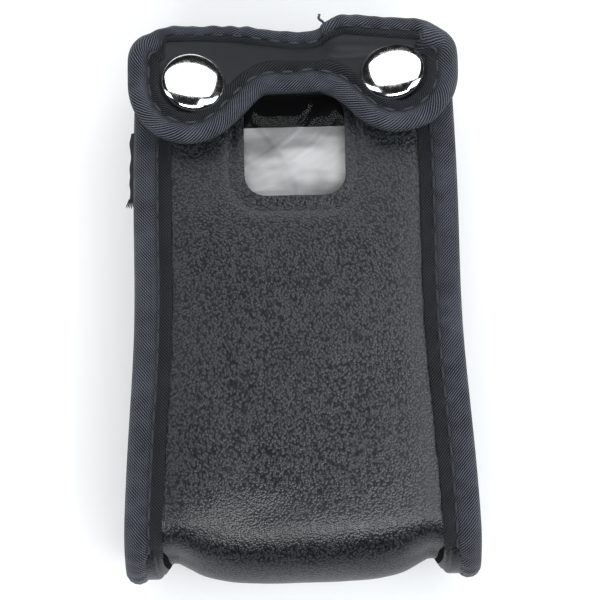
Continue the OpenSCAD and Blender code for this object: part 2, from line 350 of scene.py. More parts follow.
class Wrap:
    """A strip bent along a (y, z) path. A place on it is (x, distance along, height above its face)."""

    def __init__(self, path, half, relief=None):
        self.path = resample(path, 0.5)
        self.s = np.r_[0, np.cumsum(np.linalg.norm(np.diff(self.path, axis=0), axis=1))]
        along = unit(np.gradient(self.path, axis=0))
        self.normal = np.stack([along[:, 1], -along[:, 0]], axis=1)
        self.half = half
        self.relief = relief or (lambda x, s: 0 * x)
        self.length = self.s[-1]

    def spot(self, s):
        """(y, z) of the strip's face at distance s."""
        return np.interp(s, self.s, self.path[:, 0]), np.interp(s, self.s, self.path[:, 1])

    def facing(self, s):
        """(y, z) of the direction that the strip's face points in at distance s."""
        return np.interp(s, self.s, self.normal[:, 0]), np.interp(s, self.s, self.normal[:, 1])

    def edge(self, s):
        """Half width of the strip at distance s."""
        return self.half(self.spot(s)[0])

    def at(self, x, s, height):
        """Points of the pouch's space for places on the strip."""
        x, s, height = np.broadcast_arrays(np.asarray(x, float), s, height)
        y, z = self.spot(s)
        ny, nz = self.facing(s)
        size = np.maximum(np.hypot(ny, nz), 1e-6)
        lift = height + self.relief(x, s)
        return np.stack([x, y + ny / size * lift, z + nz / size * lift], axis=-1)


def pouch_half(y):
    """Half width of the pouch's leather, with its slight waist."""
    straight = HALF_BOTTOM + (HALF_MOUTH - HALF_BOTTOM) * np.clip(y / MOUTH_Y, 0, 1)
    return straight - 1.2 * bell(y, 60, 26)


# Distance along the strip, from the mouth, at which the front ends and the roll starts
FRONT_END = MOUTH_Y - ROLL_C
# (distance in from the seam, depth) of the roll's gathered corners, and (distance in, height) of the
# stuffed front
PULL_IN = [(0, 2.4), (4, 2.6), (8, 4.6), (10, 5.2), (12, 4.3), (16, 2.2), (21, 0.9), (30, 0.1), (42, 0)]
SWELL = [(0, 0), (8, 0), (11, 0.7), (18, 1.5), (30, 1.9), (42, 2.0)]


def window_distance(x, y):
    """Distance outwards from the window's rounded outline."""
    across = np.abs(x) - WINDOW_HALF + WINDOW_R
    up = np.abs(y - (WINDOW_Y0 + WINDOW_Y1) / 2) - (WINDOW_Y1 - WINDOW_Y0) / 2 + WINDOW_R
    return np.hypot(np.maximum(across, 0), np.maximum(up, 0)) - WINDOW_R


def pouch_relief(x, s):
    """Height of the pouch's face above its plain path: a stuffed front and a roll pulled in at the seams."""
    y = np.where(s < FRONT_END, MOUTH_Y - s, ROLL_C)
    inwards = pouch_half(y) - np.abs(x)
    past_front = s - FRONT_END
    angle = np.clip(past_front / ROLL_R, 0, math.pi)
    rolled = smooth_step(np.minimum(angle, math.pi - angle), -0.25, 1.0)
    rolled = np.where(past_front > -10, rolled, 0) * smooth_step(past_front, -10, 14)
    pulled = rolled * curve_through(inwards, PULL_IN)
    swell = smooth_step(s, 8, 45) * smooth_step(22 - past_front, 0, 30) * curve_through(inwards, SWELL)
    slanting = past_front + 2 + 0.22 * x
    crease = 0.5 * bell(slanting, 0, 4.0) * smooth_step(x, -34, -20) * smooth_step(8 - x, 0, 26)
    waves = 0.22 * flat_ripple(x, s, 21, 3.0) * smooth_step(inwards, 8, 16)
    seam = window_distance(x, MOUTH_Y - s) - WINDOW_STITCH_OUT
    groove = 0.45 * bell(seam, 0, 0.9) * (past_front < 0)
    return swell - groove - pulled - crease + waves


# The back's leather hands over to the neck's this far before the back's own edge
BACK_END = BACK_Y - 5.5

pouch_path = np.vstack([
    [[MOUTH_Y, FRONT_Z], [ROLL_C, FRONT_Z]],
    arc((ROLL_C, ROLL_C), ROLL_R, 90, 270, 60)[1:],
    [[BACK_END, ROLL_C - ROLL_R]],
])
POUCH = Wrap(pouch_path, pouch_half, pouch_relief)

# The neck rises from the end of the back, in two halves that each bend across one joint
NECK_MID_Z = (NECK_Z + FOLD_Z) / 2
NECK_OUT_Y = NECK_Y + LEATHER_T / 2
NECK_BEND_R = 5.0
FOLD_BEND_R = 4.0
FOLD_BEND_Z = FOLD_Z - 4.5
neck_low_path = np.vstack([
    [[BACK_END, TAPE_T]],
    arc((NECK_OUT_Y - NECK_BEND_R, TAPE_T + NECK_BEND_R), NECK_BEND_R, -90, 0, 16),
    [[NECK_OUT_Y, NECK_MID_Z]],
])
neck_high_path = np.vstack([
    [[NECK_OUT_Y, NECK_MID_Z], [NECK_OUT_Y, FOLD_BEND_Z]],
    arc((NECK_OUT_Y - FOLD_BEND_R, FOLD_BEND_Z), FOLD_BEND_R, 0, 80, 12),
])


def neck_half(y):
    """Half width of the neck, the same everywhere."""
    return NECK_HALF + 0.6 + 0 * y


NECK_LOW = Wrap(neck_low_path, neck_half)
NECK_HIGH = Wrap(neck_high_path, neck_half)


PANEL_STEP = 1.15
PANEL_COLUMNS = 69


def panel(name, wrap, material, above, below, start=0.0, inset=0.8, hole=None):
    """A strip of leather or lining between two heights of a wrap, with an opening if hole is given."""
    s = np.linspace(start, wrap.length, int(round((wrap.length - start) / PANEL_STEP)) + 1)
    across = np.linspace(-1, 1, PANEL_COLUMNS)
    x = across[None, :] * (wrap.edge(s)[:, None] - inset)
    s = np.repeat(s[:, None], len(across), axis=1)
    keep = None
    if hole:
        x, s, keep = hole(x, s)
    return slab(name, wrap.at(x, s, above), wrap.at(x, s, below), material, keep)


def window_hole(grow):
    """Cuts a grid at the window's rounded outline, moving the grid's nearest points onto it."""
    radius = WINDOW_R + grow
    left, right = WINDOW_R - WINDOW_HALF, WINDOW_HALF - WINDOW_R
    low, high = WINDOW_Y0 + WINDOW_R, WINDOW_Y1 - WINDOW_R
    corners = ((right, high, 0), (left, high, 90), (left, low, 180), (right, low, 270))
    arcs = [arc((x, y), radius, angle, angle + 90, 12) for x, y, angle in corners]
    line = resample(np.vstack(arcs), 0.15, closed=True)

    def cut(x, s):
        y = MOUTH_Y - s
        centre_x = (x[:-1, :-1] + x[1:, 1:]) / 2
        centre_y = (y[:-1, :-1] + y[1:, 1:]) / 2
        inside = window_distance(centre_x, centre_y) < grow
        keep = ~inside
        touches_in, touches_out = np.zeros(x.shape, bool), np.zeros(x.shape, bool)
        for dr, dc in ((0, 0), (0, 1), (1, 0), (1, 1)):
            rows = slice(dr, x.shape[0] - 1 + dr)
            columns = slice(dc, x.shape[1] - 1 + dc)
            touches_in[rows, columns] |= inside
            touches_out[rows, columns] |= keep
        for r, c in zip(*np.nonzero(touches_in & touches_out)):
            nearest = line[np.argmin(np.hypot(line[:, 0] - x[r, c], line[:, 1] - y[r, c]))]
            x[r, c], s[r, c] = nearest[0], MOUTH_Y - nearest[1]
        return x, s, keep

    return cut


# ------------ bound edges and stitching

# The tape's section: (share of its width from its outer edge, height above the leather's face, kind)
GROOVE_AT = 0.665
TAPE_SECTION = [
    (1.00, -0.15, "hem"), (1.00, 0.55, "hem"), (0.95, 0.85, "hem"), (0.84, 0.95, "hem"),
    (0.74, 0.75, "groove"), (GROOVE_AT, 0.1, "groove"), (0.59, 0.7, "groove"),
    (0.48, 1.6, "puff"), (0.34, 2.1, "puff"), (0.19, 1.9, "puff"), (0.07, 1.2, "puff"), (0.0, 0.2, "edge"),
]


def tape_rings(place, lengths, width, under, seed, puff=1.0, limit=None):
    """Rings of a tape folded over an edge. place(distance in, height) gives one row of points along it.

    under is (depth of the leather stack, width of the inner leg), and limit is how far in the tape may go.
    """
    count = len(lengths)
    waves = flat_ripple(lengths, 0, 5.5, seed)
    wrinkles = flat_ripple(lengths, 0, 1.9, seed + 9)
    pull = np.cos(lengths * math.pi / STITCH_PITCH) ** 2
    heights = {
        "hem": 1 + 0.2 * waves + 0.2 * wrinkles,
        "groove": 1 - 0.5 * pull + 0.3 * wrinkles,
        "puff": puff * (1 - 0.14 * pull + 0.17 * waves + 0.13 * wrinkles),
        "edge": np.ones(count),
    }
    hem_line = 1 + 0.025 * waves + 0.012 * wrinkles
    stack, leg = under
    section = [(d * width * (hem_line if kind == "hem" else 1), h * heights[kind])
               for d, h, kind in TAPE_SECTION]
    bulge = 0.18 * waves
    section += [
        (0.1 - bulge, np.full(count, -0.8)), (0.1 - bulge, np.full(count, -stack + 0.6)),
        (0.7, np.full(count, -stack - 0.7)), (2.0, np.full(count, -stack - 0.9)),
        (leg, np.full(count, -stack - 0.8)), (leg, np.full(count, -stack - 0.05)),
        (1.3, np.full(count, -stack - 0.05)), (1.3, np.full(count, -0.15)),
    ]
    rings = []
    for distance, height in section:
        distance = distance + np.zeros(count)
        if limit is not None:
            distance = np.minimum(distance, limit * (0.94 + 0.06 * distance / width))
        rings.append(place(distance, height))
    return np.stack(rings, axis=1)


def threads(name, runs, material, radius=THREAD_R):
    """Stitches as short soft threads. Each run is (points along the stitch, up direction)."""
    sides = 8
    angles = np.linspace(0, 2 * math.pi, sides, endpoint=False)[:, None]
    points, faces = [], []
    for line, up in runs:
        line = resample(line, np.linalg.norm(line[-1] - line[0]) / 6)
        along = unit(np.gradient(line, axis=0))
        across = unit(np.cross(along, up))
        over = np.cross(across, along)
        t = np.linspace(-1, 1, len(line))
        thick = radius * (1 - 0.75 * t ** 6)
        sunk = -1.1 * radius * t ** 4
        faces += tube_faces(len(line), sides, base=len(points))
        for k in range(len(line)):
            circle = np.cos(angles) * across[k] + np.sin(angles) * over[k]
            points.extend(line[k] + over[k] * sunk[k] + thick[k] * circle)
    return add_mesh(name, points, faces, material)


def edge_tape(name, wrap, side, start, under, seed, width=HEM_IN, puff=1.0):
    """Tape along one edge of a wrap, which is pressed flat where it lies on the ground."""
    lengths = np.arange(start, wrap.length + 0.01, 0.55)
    edge = wrap.edge(lengths) + TAPE_T
    pressed = 1 - 0.64 * smooth_step(12 - wrap.spot(lengths)[1], 0, 10)

    def place(distance, height):
        return wrap.at(side * (edge - distance), lengths, np.where(height > 0, height * pressed, height))

    rings = tape_rings(place, lengths, width, under, seed, puff)
    return loft(name, rings, TAPE, TAPE_SHARP)


def edge_runs(side):
    """Stitches along a bound seam: a row on the tape's face, and a row on its inner leg."""
    runs = []
    for centre in np.arange(2.0 + STITCH_PITCH / 2, POUCH.length - 1, STITCH_PITCH):
        s = centre + STITCH_SPAN
        x = side * (POUCH.edge(s) + TAPE_T - STITCH_IN)
        height = 0.25 if POUCH.spot(centre)[1] < 6 else 0.58
        outer = POUCH.at(x, s, height)
        up = POUCH.at(x, s, height + 1)[3] - outer[3]
        inner = POUCH.at(x, s, -SEAM_T - 0.95)
        runs += [(outer, up), (inner, -up)]
    return runs


# ------------ materials


class Surface:
    """A procedural material being built. Scales are repeats in a metre, and bumps add up."""

    def __init__(self, name, colour, roughness, **inputs):
        self.material = bpy.data.materials.new(name)
        self.material.use_nodes = True
        self.tree = self.material.node_tree
        self.shader = self.tree.nodes["Principled BSDF"]
        self.set("Base Color", (*colour, 1))
        self.set("Roughness", roughness)
        for key, value in inputs.items():
            self.set(key.replace("_", " ").title().replace("Ior", "IOR"), value)
        coordinates = self.node("ShaderNodeTexCoord")
        self.place = coordinates.outputs["Object"]
        self.cloth = coordinates.outputs["UV"]
        self.normal = None

    def node(self, kind, **settings):
        made = self.tree.nodes.new(kind)
        for key, value in settings.items():
            setattr(made, key, value)
        return made

    def link(self, source, target):
        self.tree.links.new(source, target)

    def set(self, socket, value):
        self.shader.inputs[socket].default_value = value

    def noise(self, scale, detail, stretch=None):
        where = self.place
        if stretch:
            mapping = self.node("ShaderNodeMapping")
            mapping.inputs["Scale"].default_value = stretch
            self.link(where, mapping.inputs["Vector"])
            where = mapping.outputs["Vector"]
        made = self.node("ShaderNodeTexNoise")
        made.inputs["Scale"].default_value = scale
        made.inputs["Detail"].default_value = detail
        self.link(where, made.inputs["Vector"])
        return made.outputs["Fac"]

    def cells(self, scale):
        """Distance from the middle of the nearest cell."""
        made = self.node("ShaderNodeTexVoronoi", feature="F1")
        made.inputs["Scale"].default_value = scale
        self.link(self.place, made.inputs["Vector"])
        return made.outputs["Distance"]

    def maths(self, operation, *values):
        made = self.node("ShaderNodeMath", operation=operation)
        for socket, value in zip(made.inputs, values):
            if isinstance(value, (int, float)):
                socket.default_value = value
            else:
                self.link(value, socket)
        return made.outputs["Value"]

    def spread(self, value, low, high, to_low=0.0, to_high=1.0):
        """Takes low..high smoothly to to_low..to_high."""
        made = self.node("ShaderNodeMapRange", interpolation_type="SMOOTHSTEP")
        limits = {"From Min": low, "From Max": high, "To Min": to_low, "To Max": to_high}
        for name, number in limits.items():
            made.inputs[name].default_value = number
        self.link(value, made.inputs["Value"])
        return made.outputs["Result"]

    def tint(self, value, dark, light):
        """Colours the surface from dark to light as value goes from 0 to 1."""
        ramp = self.node("ShaderNodeValToRGB")
        ramp.color_ramp.elements[0].color = (*dark, 1)
        ramp.color_ramp.elements[1].color = (*light, 1)
        self.link(value, ramp.inputs["Fac"])
        self.link(ramp.outputs["Color"], self.shader.inputs["Base Color"])

    def rough(self, value):
        self.link(value, self.shader.inputs["Roughness"])

    def bump(self, height, distance_mm, strength=1.0):
        made = self.node("ShaderNodeBump")
        made.inputs["Distance"].default_value = distance_mm * MM
        made.inputs["Strength"].default_value = strength
        self.link(height, made.inputs["Height"])
        if self.normal:
            self.link(self.normal, made.inputs["Normal"])
        self.normal = made.outputs["Normal"]
        self.link(self.normal, self.shader.inputs["Normal"])


def pebbled_leather():
    """Fine pebble grain, about half a millimetre, with a low sheen."""
    s = Surface("pebbled_leather", (0.05, 0.05, 0.055), 0.45, specular_ior_level=0.62)
    pebbles = s.spread(s.cells(1900), 0.8, 0.05)
    fine = s.noise(3000, 1)
    worn = s.noise(70, 4)
    scuffed = s.maths("MULTIPLY", s.spread(fine, 0.1, 0.6, 0.6), s.spread(worn, 0.2, 0.7, 0.85))
    s.tint(s.maths("MULTIPLY", pebbles, scuffed), (0.003, 0.003, 0.0036), (0.045, 0.045, 0.055))
    s.rough(s.spread(worn, 0.3, 0.75, 0.33, 0.4))
    s.bump(s.noise(230, 2), 0.15, 0.5)
    s.bump(s.maths("ADD", pebbles, s.maths("MULTIPLY", fine, 0.25)), 0.065, 0.9)
    return s.material


def smooth_leather():
    """Calendered leather with almost no grain, and a faint satin sheen."""
    s = Surface("smooth_leather", (0.035, 0.035, 0.04), 0.5, specular_ior_level=0.4)
    worn = s.noise(55, 4)
    s.tint(worn, (0.006, 0.006, 0.008), (0.014, 0.014, 0.018))
    s.rough(s.spread(worn, 0.3, 0.7, 0.44, 0.58))
    s.bump(s.noise(420, 3), 0.12, 0.6)
    s.bump(s.noise(2400, 3), 0.05, 0.8)
    return s.material


def twill_tape():
    """Grosgrain-like tape: slanting ribs about half a millimetre apart, with painted shade on the hem and
    the groove.
    """
    s = Surface("twill_tape", (0.07, 0.075, 0.095), 0.62, specular_ior_level=0.3, sheen_weight=0.05)
    parts = s.node("ShaderNodeSeparateXYZ")
    s.link(s.cloth, parts.inputs["Vector"])
    wobble = s.maths("MULTIPLY", s.noise(260, 2), 0.5)
    slant = s.maths("ADD", s.maths("MULTIPLY", parts.outputs["X"], 1.1), parts.outputs["Y"])
    ribs = s.maths("SINE", s.maths("MULTIPLY", s.maths("ADD", slant, wobble), 2 * math.pi / 0.75))
    picks = s.maths("SINE", s.maths("MULTIPLY", parts.outputs["X"], 2 * math.pi / 0.5))
    weave = s.maths("MULTIPLY_ADD", s.maths("ADD", ribs, s.maths("MULTIPLY", picks, 0.35)), 0.5)
    faded = s.noise(150, 4)
    # Painted shade: roll darkens the hem and the groove beside the puffed roll to 0.3 of the weave's tint,
    # where shade falls, and also makes them rougher.
    roll = s.spread(parts.outputs["X"], 2.6, 5.2, 0.3, 1.0)
    s.tint(s.maths("MULTIPLY", s.spread(s.maths("ADD", weave, faded), 0.75, 1.3), roll),
           (0.001, 0.0011, 0.0013), (0.115, 0.125, 0.155))
    s.rough(s.spread(s.maths("MULTIPLY", faded, roll), 0.1, 0.6, 0.62, 0.36))
    s.bump(s.noise(700, 3), 0.3, 0.6)
    s.bump(weave, 0.2, 1.0)
    return s.material


def waxed_thread():
    """Dark sewing thread with strands along it."""
    s = Surface("waxed_thread", (0.1, 0.105, 0.125), 0.5, sheen_weight=0.2)
    strands = s.noise(2600, 2, stretch=(1, 0.3, 1))
    s.tint(strands, (0.006, 0.007, 0.009), (0.045, 0.048, 0.062))
    s.rough(s.spread(strands, 0.3, 0.7, 0.42, 0.6))
    s.bump(strands, 0.06, 0.8)
    return s.material


def lining_cloth():
    """Black matt cloth that hardly shows."""
    s = Surface("lining_cloth", (0.003, 0.003, 0.003), 0.9, specular_ior_level=0.2)
    fibres = s.noise(2400, 3)
    s.tint(fibres, (0.002, 0.002, 0.002), (0.005, 0.005, 0.006))
    s.rough(s.spread(fibres, 0.2, 0.8, 0.82, 0.95))
    s.bump(fibres, 0.03, 0.5)
    return s.material


def clear_film():
    """Thin rippled plastic: mostly clear, with a gloss that streaks."""
    s = Surface("clear_film", (0.02, 0.02, 0.022), 0.08, alpha=0.16, specular_ior_level=0.7)
    waves = s.noise(95, 2, stretch=(1, 0.55, 1))
    s.rough(s.spread(waves, 0.3, 0.7, 0.05, 0.16))
    s.bump(waves, 0.5, 0.5)
    return s.material


def satin_sheet():
    """Pale coated sheet whose colour carries soft curved streaks of painted light and shade, as from the
    gloss of its folds.
    """
    s = Surface("satin_sheet", (0.62, 0.62, 0.61), 0.35, specular_ior_level=0.5)
    streaks = s.noise(85, 2, stretch=(0.7, 1.5, 1))
    # Painted light and shade: the streak noise lightens and darkens the sheet's colour like reflections on
    # folds; it also sets the roughness and a bump.
    s.tint(s.spread(streaks, 0.35, 0.65), (0.32, 0.32, 0.32), (0.8, 0.8, 0.79))
    s.rough(s.spread(streaks, 0.3, 0.7, 0.25, 0.45))
    s.bump(streaks, 0.6, 0.5)
    s.bump(s.noise(2200, 3), 0.008, 0.3)
    return s.material


def plated_metal(name, colour, roughness):
    """Polished plating with faint rubbed marks."""
    s = Surface(name, colour, roughness, metallic=1.0)
    marks = s.noise(700, 4)
    s.tint(marks, tuple(0.9 * c for c in colour), colour)
    s.rough(s.spread(marks, 0.35, 0.8, roughness, roughness + 0.1))
    s.bump(s.noise(2600, 2), 0.006, 0.4)
    return s.material


def frayed_cloth():
    """Worn dark cloth with loose fibres."""
    s = Surface("frayed_cloth", (0.02, 0.02, 0.024), 0.85)
    fibres = s.noise(1900, 3, stretch=(2, 0.4, 1))
    s.tint(fibres, (0.01, 0.01, 0.013), (0.05, 0.05, 0.06))
    s.rough(s.spread(fibres, 0.2, 0.8, 0.75, 0.95))
    s.bump(fibres, 0.12, 0.8)
    return s.material


LEATHER = pebbled_leather()
FLAP_LEATHER = smooth_leather()
TAPE = twill_tape()
THREAD = waxed_thread()
LINING = lining_cloth()
FILM = clear_film()
SHEET = satin_sheet()
CHROME = plated_metal("bright_plating", (0.93, 0.93, 0.94), 0.1)
NICKEL = plated_metal("dull_plating", (0.62, 0.6, 0.57), 0.26)
FRAYED = frayed_cloth()

# ------------ pouch body


def finish_piece(piece, body, slot, *nodes):
    """Puts a piece on its body when body is a name, and in place of its CAD nodes. A bend, given as a tuple,
    attaches it to nothing. slot is not used.
    """
    if isinstance(body, str):
        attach(piece, body)
    else:
        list(body)
        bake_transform(piece)
    if nodes:
        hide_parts(*nodes)


def make_shell():
    """The leather strip and the lining glued inside it, both with the window's opening."""
    shell = panel("leather_shell", POUCH, LEATHER, 0, -LEATHER_T, hole=window_hole(0))
    finish_piece(shell, "pouch", "leather", "outer_strip")
    lining_top = -LEATHER_T - 0.35
    lining = panel("shell_lining", POUCH, LINING, lining_top, lining_top - LINING_T, start=1.5, inset=7.6,
                   hole=window_hole(FILM_LAP - 1))
    finish_piece(lining, "pouch", "lining", "strip_lining")


# The gusset's flange inside the seam, its wall past the seam, and how far the wall folds inwards
FLANGE_IN = (0.9, 2.5, 4.2, 5.4)
WALL_IN = 6.2
WALL_FOLD = 4.2
MOUTH_INSET = 2.0


def gusset_rows(inset, depth, with_flange, start):
    """Grid of the side wall: along the seam from the mouth to the roll, and across from front to back.

    inset is how far the grid lies inside the wall's face, and depth how far under the strip's face.
    """
    lengths = np.linspace(start, FRONT_END + math.pi * ROLL_R / 2 - 0.03, 105)
    edge = POUCH.edge(lengths)
    y, z = POUCH.spot(lengths)
    ny, nz = POUCH.facing(lengths)
    y, z = y - depth * ny, z - depth * nz
    half_depth = z - ROLL_C
    rows = []
    for t in np.linspace(1, -1, 25):
        stiff = 0.3 * (1 - (1 - abs(t)) ** 0.5) if with_flange else 0
        fold = WALL_FOLD * (1 - t * t) * np.clip(half_depth / ROLL_R, 0, 1) * (1 - stiff)
        waves = 0.3 * flat_ripple(lengths, t, 14, 5)
        rows.append((edge - WALL_IN - inset - fold + waves, y, ROLL_C + t * half_depth))
    if with_flange:
        front = [(edge - d, y, z) for d in FLANGE_IN]
        back = [(edge - d, y, 2 * ROLL_C - z) for d in reversed(FLANGE_IN)]
        rows = front + rows + back
    return np.stack([np.stack(row, axis=-1) for row in rows], axis=1)


def make_gusset_wall(side, label):
    """The side wall with its turned-out flanges."""
    flip = (side, 1, 1)
    outer = gusset_rows(0, LEATHER_T + SEAM_GAP, True, MOUTH_INSET)
    inner = gusset_rows(1.1, LEATHER_T + SEAM_GAP + GUSSET_T, True, MOUTH_INSET)
    flange = len(FLANGE_IN)
    inner[:, :flange, 0] = outer[:, :flange, 0]
    inner[:, -flange:, 0] = outer[:, -flange:, 0]
    wall = slab(f"side_wall_{label}", outer * flip, inner * flip, LEATHER)
    finish_piece(wall, "pouch", "leather", f"gusset_{label}")


def make_gusset_lining(side, label):
    """Thin cloth on the inside of the side wall."""
    flip = (side, 1, 1)
    face = gusset_rows(1.3, LEATHER_T + 1.9, False, 2.6)
    back = gusset_rows(1.75, LEATHER_T + 2.0, False, 2.6)
    lining = slab(f"side_lining_{label}", face * flip, back * flip, LINING)
    finish_piece(lining, "pouch", "lining", f"gusset_lining_{label}")


# The rim tape's section: (distance inwards from the middle of the wall, distance down from its edge)
RIM_SECTION = [(-1.5, 5.6), (-1.75, 5.6), (-1.9, 2.0), (-1.7, -0.2), (-0.8, -0.9), (0.2, -1.0), (1.1, -0.7),
               (1.7, 0.2), (1.8, 2.0), (1.6, 5.6), (1.3, 5.6), (1.2, 0.4), (-1.2, 0.4)]


def make_gusset_rim(side, label):
    """Tape folded over the side wall's edge at the mouth."""
    edge_line = resample(gusset_rows(0.85, LEATHER_T + 1.5, False, MOUTH_INSET)[0], 0.5) * (side, 1, 1)
    waves = 0.12 * ripple(edge_line, 4, 2 + side)
    rings = []
    for inwards, down in RIM_SECTION:
        row = edge_line - [0, down, 0]
        row[:, 0] -= side * (inwards + waves)
        rings.append(row)
    rim = loft(f"side_rim_{label}", np.stack(rings, axis=1), TAPE, TAPE_SHARP)
    finish_piece(rim, "pouch", "tape", f"gusset_rim_{label}")


def make_edge(side, label):
    """The tape round one bound seam, and the stitches through it."""
    tape = edge_tape(f"edge_tape_{label}", POUCH, side, 0.4, (SEAM_T, INNER_LEG), 7 + side)
    finish_piece(tape, "pouch", "tape", f"edge_binding_{label}")
    stitches = threads(f"edge_threads_{label}", edge_runs(side), THREAD)
    finish_piece(stitches, "pouch", "thread", f"edge_stitches_{label}")


def make_mouth():
    """Narrow tape folded over the pouch's mouth, with its stitches."""
    half = HALF_MOUTH - 0.6
    x = np.arange(-half, half + 0.01, 0.6)

    def place(distance, height):
        return POUCH.at(x, distance - TAPE_T, height)

    rings = tape_rings(place, x - x[0], 3.4, (LEATHER_T, 2.6), 21, puff=0.5)
    finish_piece(loft("mouth_tape", rings, TAPE, TAPE_SHARP), "pouch", "tape", "mouth_binding")
    centres = np.arange(-half + 6, half - 5, STITCH_PITCH)
    runs = [(POUCH.at(centre + STITCH_SPAN, 1.4, 0.55), UP) for centre in centres]
    finish_piece(threads("mouth_threads", runs, THREAD), "pouch", "thread", "mouth_stitches")


# ------------ window


def streaks(x, y):
    """Curved creases that sweep up to the right across the window, as in a curled sheet."""
    creases = ((-24, 128, 33.0, 0.7), (-22, 132, 39.5, 0.6), (-20, 140, 49.5, 0.8), (-34, 82, 36.0, 0.7))
    return sum(bell(np.hypot(x - cx, y - cy), radius, width) for cx, cy, radius, width in creases)


def make_film():
    """The clear film behind the leather, which sags and ripples where nothing covers it."""
    half = WINDOW_HALF + FILM_LAP
    x, y = np.meshgrid(np.linspace(-half, half, 61),
                       np.linspace(WINDOW_Y0 - FILM_LAP, WINDOW_Y1 + FILM_LAP, 73))
    s = MOUTH_Y - y
    inside = (smooth_step(WINDOW_HALF - np.abs(x), 0, 6) * smooth_step(y - WINDOW_Y0, 0, 6)
              * smooth_step(WINDOW_Y1 - y, 0, 6))
    sag = (0.55 * flat_ripple(x, y, 9, 11) - 0.4) * inside + 0.4 * streaks(x, y) * inside
    height = -LEATHER_T - 0.04 + sag
    film = slab("window_sheet", POUCH.at(x, s, height), POUCH.at(x, s, height - FILM_T), FILM)
    finish_piece(film, "pouch", "film", "window_film")


def window_stitch_line():
    """Points every LINE_STEP along the stitching: down one side, round the bottom and up the other."""
    half, low = WINDOW_HALF + WINDOW_STITCH_OUT, WINDOW_Y0 - WINDOW_STITCH_OUT
    radius = WINDOW_R + WINDOW_STITCH_OUT
    return resample(np.vstack([
        [[-half, WINDOW_Y1 + 1]],
        arc((-half + radius, low + radius), radius, 180, 270),
        arc((half - radius, low + radius), radius, 270, 360),
        [[half, WINDOW_Y1 + 1]],
    ]), LINE_STEP)


def make_window_stitches():
    """The U-shaped row of short stitches that holds the film."""
    line = window_stitch_line()
    pitch = len(line) / round(len(line) * LINE_STEP / WINDOW_STITCH_PITCH)
    runs = []
    for k in np.arange(0, len(line) - pitch * 0.7, pitch):
        at = np.clip(np.arange(k, k + 0.72 * pitch, 2).astype(int), 0, len(line) - 1)
        runs.append((POUCH.at(line[at, 0], MOUTH_Y - line[at, 1], 0.2), UP))
    stitches = threads("window_threads", runs, THREAD, 0.34)
    finish_piece(stitches, "pouch", "thread", "window_stitches")


def make_insert():
    """A loose pale sheet standing in the pouch just behind the film."""
    low, high = sheet_points.min(axis=0), sheet_points.max(axis=0)
    x, y = np.meshgrid(np.linspace(low[0], high[0], 61), np.linspace(low[1], high[1], 61))
    tipped = 0.5 * smooth_step(y, high[1] - 7, high[1])
    curl = 0.35 * flat_ripple(x, y, 16, 31) + 0.45 * streaks(x, y) - tipped
    rounded = 1.2 * smooth_step(np.abs(x) / high[0], 0.9, 1.0) * smooth_step(y, high[1] - 1.5, high[1])
    z = POUCH.at(x, MOUTH_Y - y, -LEATHER_T - 1.75)[..., 2] + curl
    face = np.stack([x, y - rounded, z], axis=-1)
    sheet = slab("pale_sheet", face, face - [0, 0, SHEET_T], SHEET)
    finish_piece(sheet, "pouch", "paper", "insert_sheet")


# ------------ closure

LOBE_X = abs(SNAPS[1][0][0]) + 0.5
LOBE_R = 13.7
LOBE_Y = {side: SNAPS[side][0][1] + 0.3 for side in (-1, 1)}
CORNER_R = 6.0
TOP_Y = FOLD_Y + 1.9
HOLLOW_Y = FOLD_Y - 13.2
CLOSURE_HEM = 7.2
CLOSURE_LEG = 5.0
# Height of the middle of the closure's leather where the snaps go through it
CAP_MID_Z = SNAPS[1][0][2] + 3.5
# (x, height above TOP_Y) of the closure's edge along the fold, which steps up where it is doubled
TOP_LINE = [(-38, -1.6), (-32, 0), (-22, 0.4), (-12, 0.0), (-4, -1.0), (2, -1.5), (6, -1.0), (8.2, 0.8),
            (10.2, 2.6), (14, 2.6), (20, 1.9), (27, 1.2), (33, 0.4), (38, -1.2)]
# (distance from the fold, height), and (distance from the middle, height), of the closure's leather
LENGTHWAYS = [(-6, -6.5), (-3, -4.0), (-1, -2.4), (1, -1.2), (4, -0.6), (10.8, 0), (17, 1.1), (23, 1.4),
              (28, 1.2)]
CROSSWAYS = [(0, -1.5), (8, -1.25), (16, -0.8), (23.6, 0), (31, 0.75), (38, 0.7)]


def closure_outline():
    """The closure's plan, anticlockwise from the left lobe: two round lobes and the hollow between."""
    slant = math.sqrt(0.5) * LOBE_R
    left, right = (-LOBE_X, LOBE_Y[-1]), (LOBE_X, LOBE_Y[1])
    rise_left = HOLLOW_Y - left[1] + slant
    rise_right = HOLLOW_Y - right[1] + slant
    side_x = LOBE_X + LOBE_R
    corner_y = TOP_Y - CORNER_R - 0.8
    x = np.linspace(side_x - CORNER_R, -side_x + CORNER_R, 90)
    top = np.stack([x, TOP_Y + curve_through(x, TOP_LINE)], axis=1)
    points = np.vstack([
        arc(left, LOBE_R, 180, 315, 60),
        [[left[0] + slant + rise_left, HOLLOW_Y]],
        [[right[0] - slant - rise_right, HOLLOW_Y]],
        arc(right, LOBE_R, 225, 360, 60),
        arc((side_x - CORNER_R, corner_y), CORNER_R, 0, 85, 16),
        top,
        arc((-side_x + CORNER_R, corner_y), CORNER_R, 95, 180, 16),
    ])
    points = resample(points, 0.5, closed=True)
    # Rounds off the joints between the stretches
    for _ in range(14):
        points = 0.5 * points + 0.25 * (np.roll(points, 1, axis=0) + np.roll(points, -1, axis=0))
    return points


OUTLINE = closure_outline()


